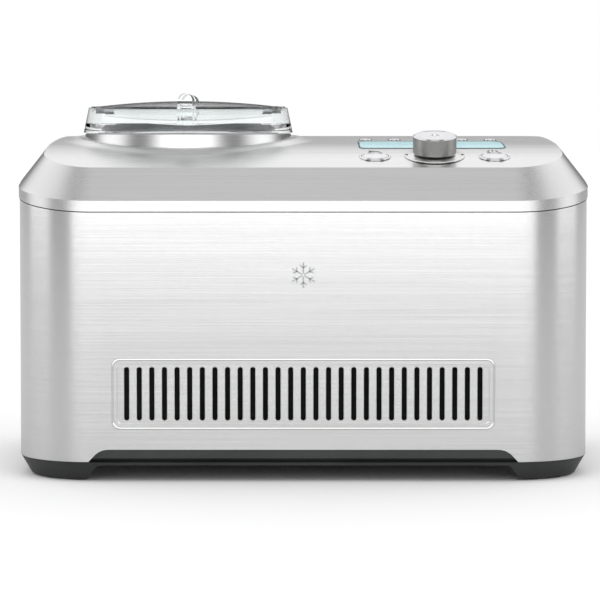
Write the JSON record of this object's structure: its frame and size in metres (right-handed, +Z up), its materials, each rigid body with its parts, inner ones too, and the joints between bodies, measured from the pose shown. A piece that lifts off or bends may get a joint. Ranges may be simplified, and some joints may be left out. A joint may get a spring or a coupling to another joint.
{
  "type": "ice cream maker",
  "caption": "Countertop compressor ice cream maker: steel case on a black base, sunken bowl under a clear flip-port lid, deck with display, dial and push buttons.",
  "frame": {"origin": "centre of the footprint, on the surface that the pads stand on", "axes": "+X to the right seen from the front, +Y to the back, +Z up"},
  "size_m": [0.405, 0.275, 0.2709],
  "materials": {
    "steel": "fine brushed",
    "chrome": "polished",
    "black_plastic": "satin moulded",
    "filter_mesh": "dark mesh",
    "display_glass": "clear window",
    "display_panel": "lit display",
    "circuit_board": "solder masked",
    "clear_plastic": "clear moulded",
    "silicone": "soft",
    "rubber": "matt",
    "aluminium": "satin",
    "copper": "drawn tube",
    "bronze": "sintered",
    "foam": "foamed",
    "black_enamel": "gloss enamel",
    "zinc_steel": "plated",
    "fan_plastic": "moulded",
    "paddle_plastic": "moulded"
  },
  "bodies": {
    "casing": {"air_filter": "filter_mesh", "base_tray": "black_plastic", "board_posts": "black_plastic", "board_standoffs": "zinc_steel", "body_wrap": "steel", "button_bezels": "chrome", "collar_ring": "steel", "compressor": "black_enamel", "compressor_grommets": "rubber", "condenser": "aluminium", "control_board": "circuit_board", "cord_gland": "black_plastic", "dial_encoder": "zinc_steel", "dial_ring": "chrome", "discharge_pipe": "copper", "drive_belt": "rubber", "drive_bracket": "zinc_steel", "drive_motor": "zinc_steel", "evaporator_coil": "copper", "evaporator_well": "aluminium", "fan_motor": "black_plastic", "fan_shroud": "zinc_steel", "filter_drier": "copper", "foot_pads": "rubber", "insulation_foam": "foam", "lcd_module": "display_panel", "lcd_window": "display_glass", "power_board": "circuit_board", "rear_panel": "zinc_steel", "rear_screws": "chrome", "shaft_seal": "silicone", "spindle_bush": "bronze", "suction_pipe": "copper", "tact_switches": "black_plastic", "top_cover": "steel"},
    "dial": {"dial_knob": "chrome", "dial_shaft": "zinc_steel"},
    "start_key": {"start_button": "chrome"},
    "power_key": {"power_button": "chrome"},
    "cool_key": {"cool_button": "chrome"},
    "churn_key": {"churn_button": "chrome"},
    "sound_key": {"sound_button": "chrome"},
    "unit_key": {"unit_button": "chrome"},
    "fan": {"fan_rotor": "fan_plastic"},
    "motor_rotor": {"motor_shaft": "zinc_steel", "motor_pulley": "aluminium"},
    "spindle": {"drive_spindle": "zinc_steel", "drive_pulley": "black_plastic"},
    "paddle_body": {"paddle": "paddle_plastic"},
    "bowl": {"ice_bowl": "aluminium", "handle_pivots": "zinc_steel"},
    "bail": {"bowl_handle": "chrome"},
    "lid": {"lid_base": "clear_plastic", "flap_pins": "zinc_steel", "lid_seal": "silicone"},
    "flap": {"lid_flap": "clear_plastic"}
  },
  "joints": [
    {"name": "lid_lift", "type": "slide", "parent": "casing", "child": "lid", "axis": [0, 0, 1], "range_m": [0, 0.55]},
    {"name": "flap_hinge", "type": "hinge", "parent": "lid", "child": "flap", "pos_m": [-0.0855, 0, 0.2586], "axis": [-1, 0, 0], "range_deg": [0, 90]},
    {"name": "bowl_lift", "type": "slide", "parent": "casing", "child": "bowl", "axis": [0, 0, 1], "range_m": [0, 0.171]},
    {"name": "bail_hinge", "type": "hinge", "parent": "bowl", "child": "bail", "pos_m": [-0.0855, 0, 0.2324], "axis": [1, 0, 0], "range_deg": [0, 90]},
    {"name": "spindle_spin", "type": "hinge", "parent": "casing", "child": "spindle", "pos_m": [-0.0855, 0, 0.06], "axis": [0, 0, 1], "continuous": true},
    {"name": "motor_spin", "type": "hinge", "parent": "casing", "child": "motor_rotor", "pos_m": [0.035, -0.092, 0.05], "axis": [0, 0, 1], "continuous": true},
    {"name": "paddle_lift", "type": "slide", "parent": "spindle", "child": "paddle_body", "axis": [0, 0, 1], "range_m": [0, 0.441]},
    {"name": "fan_spin", "type": "hinge", "parent": "casing", "child": "fan", "pos_m": [0.111, 0.1, 0.086], "axis": [0, 1, 0], "continuous": true},
    {"name": "dial_turn", "type": "hinge", "parent": "casing", "child": "dial", "pos_m": [0.093, -0.0925, 0.22597], "axis": [0, -0.2347, 0.9721], "continuous": true},
    {"name": "start_press", "type": "slide", "parent": "casing", "child": "start_key", "axis": [0, 0.2439, -0.9698], "range_m": [0, 0.001], "stiffness_N_per_m": 400, "springref_m": -0.002},
    {"name": "power_press", "type": "slide", "parent": "casing", "child": "power_key", "axis": [0, 0.2439, -0.9698], "range_m": [0, 0.001], "stiffness_N_per_m": 400, "springref_m": -0.002},
    {"name": "cool_press", "type": "slide", "parent": "casing", "child": "cool_key", "axis": [0, 0.0491, -0.9988], "range_m": [0, 0.001], "stiffness_N_per_m": 400, "springref_m": -0.002},
    {"name": "churn_press", "type": "slide", "parent": "casing", "child": "churn_key", "axis": [0, 0.0491, -0.9988], "range_m": [0, 0.001], "stiffness_N_per_m": 400, "springref_m": -0.002},
    {"name": "sound_press", "type": "slide", "parent": "casing", "child": "sound_key", "axis": [0, 0.0491, -0.9988], "range_m": [0, 0.001], "stiffness_N_per_m": 400, "springref_m": -0.002},
    {"name": "unit_press", "type": "slide", "parent": "casing", "child": "unit_key", "axis": [0, 0.0491, -0.9988], "range_m": [0, 0.001], "stiffness_N_per_m": 400, "springref_m": -0.002}
  ],
  "couplings": [
    {"joint": "paddle_lift", "follows": "lid_lift", "ratio": 0.8},
    {"joint": "bowl_lift", "follows": "lid_lift", "ratio": 0.31},
    {"joint": "bail_hinge", "follows": "lid_lift", "rad_per_m": 2.85},
    {"joint": "motor_spin", "follows": "spindle_spin", "ratio": 3.2727}
  ]
}
